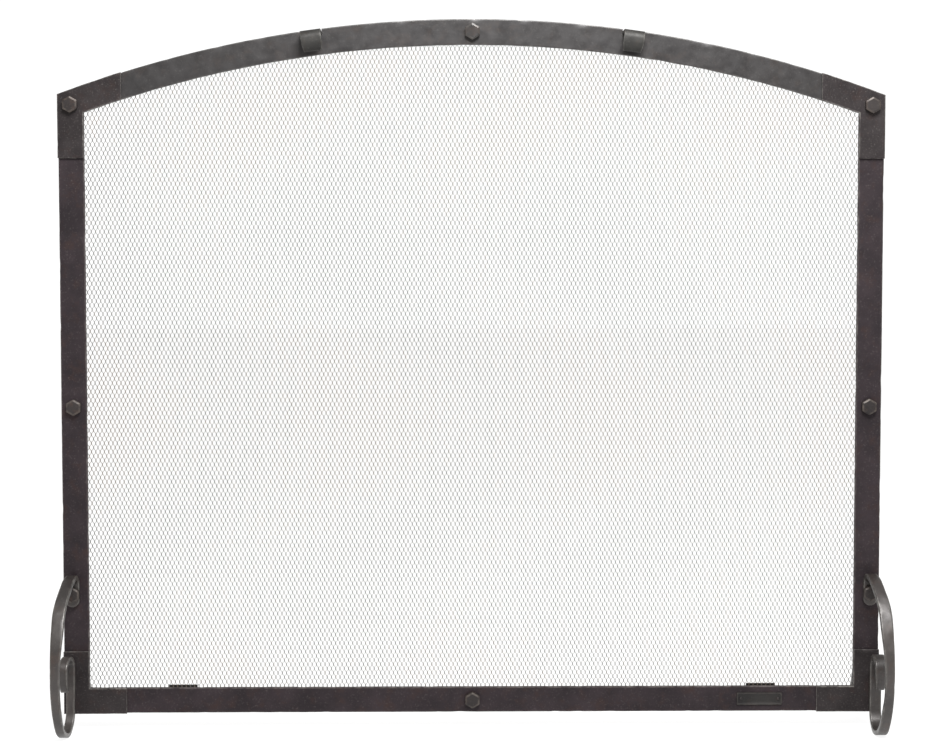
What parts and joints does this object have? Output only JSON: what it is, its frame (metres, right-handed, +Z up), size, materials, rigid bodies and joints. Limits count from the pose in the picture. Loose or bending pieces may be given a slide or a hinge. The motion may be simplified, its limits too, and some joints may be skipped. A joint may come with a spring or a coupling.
{
  "type": "fireplace screen",
  "caption": "Free-standing arched fireplace spark screen: flat bar frame, fine expanded-metal mesh, lapped corner plates, hex bolts, lift handles and scroll feet.",
  "frame": {"origin": "on the floor, midway between the two sides and midway between the front of the scroll feet and the toes of the rear legs", "axes": "+X to the right seen from in front, +Y to the rear, towards the fire, +Z up"},
  "size_m": [0.966, 0.2068, 0.8349],
  "materials": {
    "frame_steel": "satin",
    "forged_steel": "satin",
    "rear_steel": "satin",
    "mesh_steel": "satin",
    "fastener_steel": "satin",
    "badge_metal": "satin"
  },
  "bodies": {
    "root": {"arch_bar": "frame_steel", "left_stile": "frame_steel", "right_stile": "frame_steel", "bottom_rail": "frame_steel", "top_left_corner_plate": "frame_steel", "top_right_corner_plate": "frame_steel", "bottom_left_corner_plate": "frame_steel", "bottom_right_corner_plate": "frame_steel", "mesh_panel": "mesh_steel", "arch_mesh_retainer": "rear_steel", "bottom_mesh_retainer": "rear_steel", "left_mesh_retainer": "rear_steel", "right_mesh_retainer": "rear_steel", "left_mesh_clip": "rear_steel", "right_mesh_clip": "rear_steel", "left_rear_leg": "rear_steel", "right_rear_leg": "rear_steel", "left_lift_handle": "forged_steel", "right_lift_handle": "forged_steel", "left_scroll_foot": "forged_steel", "right_scroll_foot": "forged_steel", "crown_bolt": "fastener_steel", "crown_nut": "fastener_steel", "bottom_rail_bolt": "fastener_steel", "bottom_rail_nut": "fastener_steel", "left_corner_bolt": "fastener_steel", "left_corner_nut": "fastener_steel", "right_corner_bolt": "fastener_steel", "right_corner_nut": "fastener_steel", "left_middle_bolt": "fastener_steel", "left_middle_nut": "fastener_steel", "right_middle_bolt": "fastener_steel", "right_middle_nut": "fastener_steel", "left_foot_bolt": "fastener_steel", "left_foot_nut": "fastener_steel", "right_foot_bolt": "fastener_steel", "right_foot_nut": "fastener_steel", "left_handle_rivet": "fastener_steel", "right_handle_rivet": "fastener_steel", "left_clip_screw": "fastener_steel", "right_clip_screw": "fastener_steel", "badge_pins": "fastener_steel", "blank_badge_plate": "badge_metal"}
  },
  "joints": []
}
